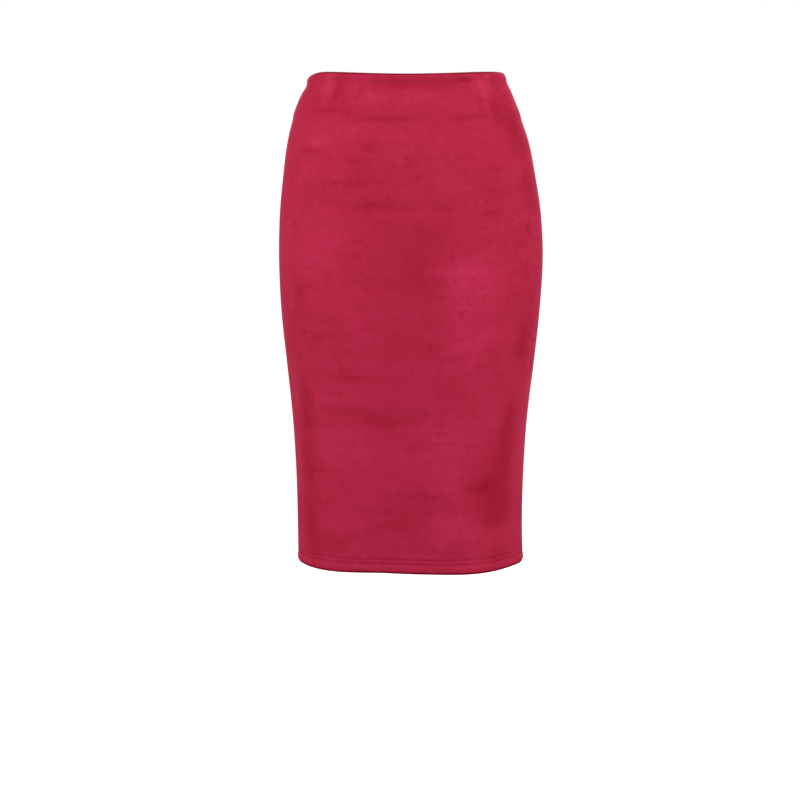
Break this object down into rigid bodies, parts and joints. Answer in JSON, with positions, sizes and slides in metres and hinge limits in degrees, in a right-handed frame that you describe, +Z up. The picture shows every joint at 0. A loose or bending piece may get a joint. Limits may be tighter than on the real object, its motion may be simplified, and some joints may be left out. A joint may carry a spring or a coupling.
{
  "type": "pencil skirt",
  "caption": "Knee-length pencil skirt of stretch suede, open at waist and hem in its worn shape, with waist darts, an inner waist facing, a stitched hem and a back slit.",
  "frame": {"origin": "middle of the waist opening, 25 mm below the waist edge, half way down the inner facing, where the wearer's waist holds the skirt up", "axes": "+Z up along the body, -Y towards the front of the skirt, +X towards the wearer's left"},
  "size_m": [0.3194, 0.2281, 0.5965],
  "materials": {
    "suede": "crimson stretch suede with a short brushed nap",
    "facing_knit": "smooth dull knit in a darker crimson",
    "thread": "twisted polyester thread in the colour of the suede"
  },
  "bodies": {
    "root": {"front_panel": "suede", "back_panel_left": "suede", "back_panel_right": "suede", "waist_facing_front": "facing_knit", "waist_facing_back": "facing_knit"}
  },
  "joints": []
}
